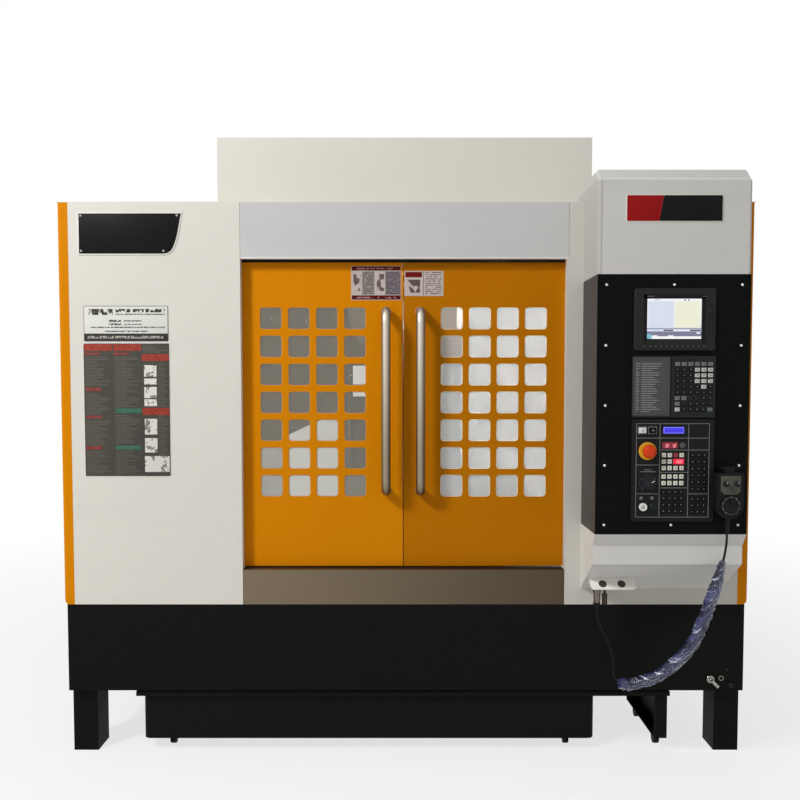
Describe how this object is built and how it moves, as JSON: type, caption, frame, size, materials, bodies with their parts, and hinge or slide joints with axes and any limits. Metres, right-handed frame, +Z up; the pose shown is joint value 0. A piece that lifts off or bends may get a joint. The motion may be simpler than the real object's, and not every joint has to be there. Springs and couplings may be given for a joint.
{
  "type": "cnc machining center",
  "caption": "Vertical machining centre in a folded sheet-metal enclosure with sliding doors, a side console with hand pendant, a three-axis cast machine and a tool turret inside.",
  "frame": {"origin": "on the floor under the centre of the overall box, measured without the pendant's cord", "axes": "+Z up, the doors and the operator console face -Y, +X to the right of someone who faces the doors"},
  "size_m": [2.334, 2.298, 2.15],
  "materials": {
    "warm_white_paint": "fine textured powder coat",
    "orange_paint": "semi-gloss powder coat",
    "black_paint": "satin powder coat",
    "grey_paint": "satin paint",
    "casting_paint": "painted casting",
    "ground_steel": "ground",
    "stainless": "brushed sheet",
    "bright_bar": "brushed bar",
    "window_glass": "laminated, clear",
    "bellows_cloth": "coated cloth",
    "black_plastic": "moulded",
    "grey_plastic": "moulded",
    "light_plastic": "moulded",
    "red_plastic": "moulded",
    "cable_rubber": "extruded",
    "sleeve_film": "thin clear film",
    "nickel": "plated",
    "painted_fitting": "plated"
  },
  "bodies": {
    "machine": {"front_panel_left": "warm_white_paint", "header_panel": "warm_white_paint", "front_panel_right": "warm_white_paint", "corner_strips": "orange_paint", "side_panel_left": "warm_white_paint", "side_panel_right": "warm_white_paint", "roof_panel": "warm_white_paint", "top_hood": "warm_white_paint", "rear_panel": "warm_white_paint", "steel_skirt": "stainless", "base_apron": "black_paint", "base_frame": "black_paint", "chamber_liner": "warm_white_paint", "base_casting": "casting_paint", "leveling_feet": "ground_steel", "column": "casting_paint", "guide_rails": "ground_steel", "servo_motors": "black_paint", "front_bellows": "bellows_cloth", "rear_bellows": "bellows_cloth", "console_housing": "warm_white_paint", "control_box": "grey_paint", "control_plate": "black_paint", "plate_screws": "nickel", "display_unit": "grey_plastic", "keypad_unit": "grey_plastic", "operator_panel": "black_plastic", "pendant_body": "black_plastic", "connector_bracket": "warm_white_paint", "cord_plug": "nickel", "cord_upper": "cable_rubber", "cord_sleeve": "sleeve_film", "cord_lower": "cable_rubber", "electrical_cabinet": "warm_white_paint", "work_lamp": "grey_paint", "air_fittings": "painted_fitting"},
    "door_left": {"door_left_panel": "orange_paint", "door_left_glass": "window_glass", "door_left_handle": "bright_bar"},
    "door_right": {"door_right_panel": "orange_paint", "door_right_glass": "window_glass", "door_right_handle": "bright_bar"},
    "saddle": {"saddle": "casting_paint"},
    "table": {"work_table": "casting_paint"},
    "head": {"spindle_head": "casting_paint"},
    "spindle": {"spindle": "ground_steel"},
    "turret": {"tool_turret": "grey_paint"},
    "x_screw": {"x_ball_screw": "ground_steel"},
    "y_screw": {"y_ball_screw": "ground_steel"},
    "z_screw": {"z_ball_screw": "ground_steel"},
    "tank": {"coolant_tank": "black_paint"},
    "cabinet_door": {"cabinet_door": "warm_white_paint"},
    "estop": {"estop_button": "red_plastic"},
    "override_knob": {"override_knob": "black_plastic"},
    "power_on": {"power_on_button": "light_plastic"},
    "power_off": {"power_off_button": "black_plastic"},
    "cycle_start": {"cycle_start_button": "light_plastic"},
    "pendant_wheel": {"pendant_handwheel": "black_plastic"},
    "pendant_axis": {"pendant_axis_knob": "black_plastic"},
    "pendant_rate": {"pendant_rate_knob": "black_plastic"}
  },
  "joints": [
    {"name": "door_left_slide", "type": "slide", "parent": "machine", "child": "door_left", "axis": [-1, 0, 0], "range_m": [0, 0.44]},
    {"name": "door_right_slide", "type": "slide", "parent": "machine", "child": "door_right", "axis": [1, 0, 0], "range_m": [0, 0.44]},
    {"name": "y_travel", "type": "slide", "parent": "machine", "child": "saddle", "axis": [0, 1, 0], "range_m": [-0.2, 0.2], "deforming": ["front_bellows", "rear_bellows"]},
    {"name": "x_travel", "type": "slide", "parent": "saddle", "child": "table", "axis": [1, 0, 0], "range_m": [-0.4, 0.4]},
    {"name": "z_travel", "type": "slide", "parent": "machine", "child": "head", "axis": [0, 0, 1], "range_m": [-0.33, 0]},
    {"name": "spindle_spin", "type": "hinge", "parent": "head", "child": "spindle", "pos_m": [0, -0.277, 1.4], "axis": [0, 0, 1], "continuous": true},
    {"name": "turret_index", "type": "hinge", "parent": "machine", "child": "turret", "pos_m": [0, -0.397, 1.57], "axis": [0, 1, 0], "continuous": true},
    {"name": "x_screw_spin", "type": "hinge", "parent": "saddle", "child": "x_screw", "pos_m": [0, -0.277, 0.716], "axis": [1, 0, 0], "range_deg": [-9010, 9010]},
    {"name": "y_screw_spin", "type": "hinge", "parent": "machine", "child": "y_screw", "pos_m": [0, -0.277, 0.54], "axis": [0, 1, 0], "range_deg": [-4510, 4510]},
    {"name": "z_screw_spin", "type": "hinge", "parent": "machine", "child": "z_screw", "pos_m": [0, 0.268, 1.3], "axis": [0, 0, 1], "range_deg": [-7430, 5]},
    {"name": "tank_slide", "type": "slide", "parent": "machine", "child": "tank", "axis": [0, -1, 0], "range_m": [0, 0.45]},
    {"name": "cabinet_door_hinge", "type": "hinge", "parent": "machine", "child": "cabinet_door", "pos_m": [0.507, 1.119, 1.17], "axis": [0, 0, -1], "range_deg": [0, 110]},
    {"name": "estop_press", "type": "slide", "parent": "machine", "child": "estop", "axis": [0, 1, 0], "range_m": [0, 0.005]},
    {"name": "override_turn", "type": "hinge", "parent": "machine", "child": "override_knob", "pos_m": [0.757, -1.085, 0.963], "axis": [0, 1, 0], "range_deg": [-150, 150]},
    {"name": "power_on_press", "type": "slide", "parent": "machine", "child": "power_on", "axis": [0, 1, 0], "range_m": [0, 0.003], "stiffness_N_per_m": 400},
    {"name": "power_off_press", "type": "slide", "parent": "machine", "child": "power_off", "axis": [0, 1, 0], "range_m": [0, 0.003], "stiffness_N_per_m": 400},
    {"name": "cycle_start_press", "type": "slide", "parent": "machine", "child": "cycle_start", "axis": [0, 1, 0], "range_m": [0, 0.003], "stiffness_N_per_m": 400},
    {"name": "pendant_wheel_turn", "type": "hinge", "parent": "machine", "child": "pendant_wheel", "pos_m": [1, -1.127, 0.898], "axis": [0, 1, 0], "continuous": true},
    {"name": "pendant_axis_turn", "type": "hinge", "parent": "machine", "child": "pendant_axis", "pos_m": [0.9825, -1.127, 0.966], "axis": [0, 1, 0], "range_deg": [-120, 120]},
    {"name": "pendant_rate_turn", "type": "hinge", "parent": "machine", "child": "pendant_rate", "pos_m": [1.0175, -1.127, 0.966], "axis": [0, 1, 0], "range_deg": [-90, 90]}
  ],
  "couplings": [
    {"joint": "x_screw_spin", "follows": "x_travel", "rad_per_m": 392.7},
    {"joint": "y_screw_spin", "follows": "y_travel", "rad_per_m": 392.7},
    {"joint": "z_screw_spin", "follows": "z_travel", "rad_per_m": 392.7}
  ]
}
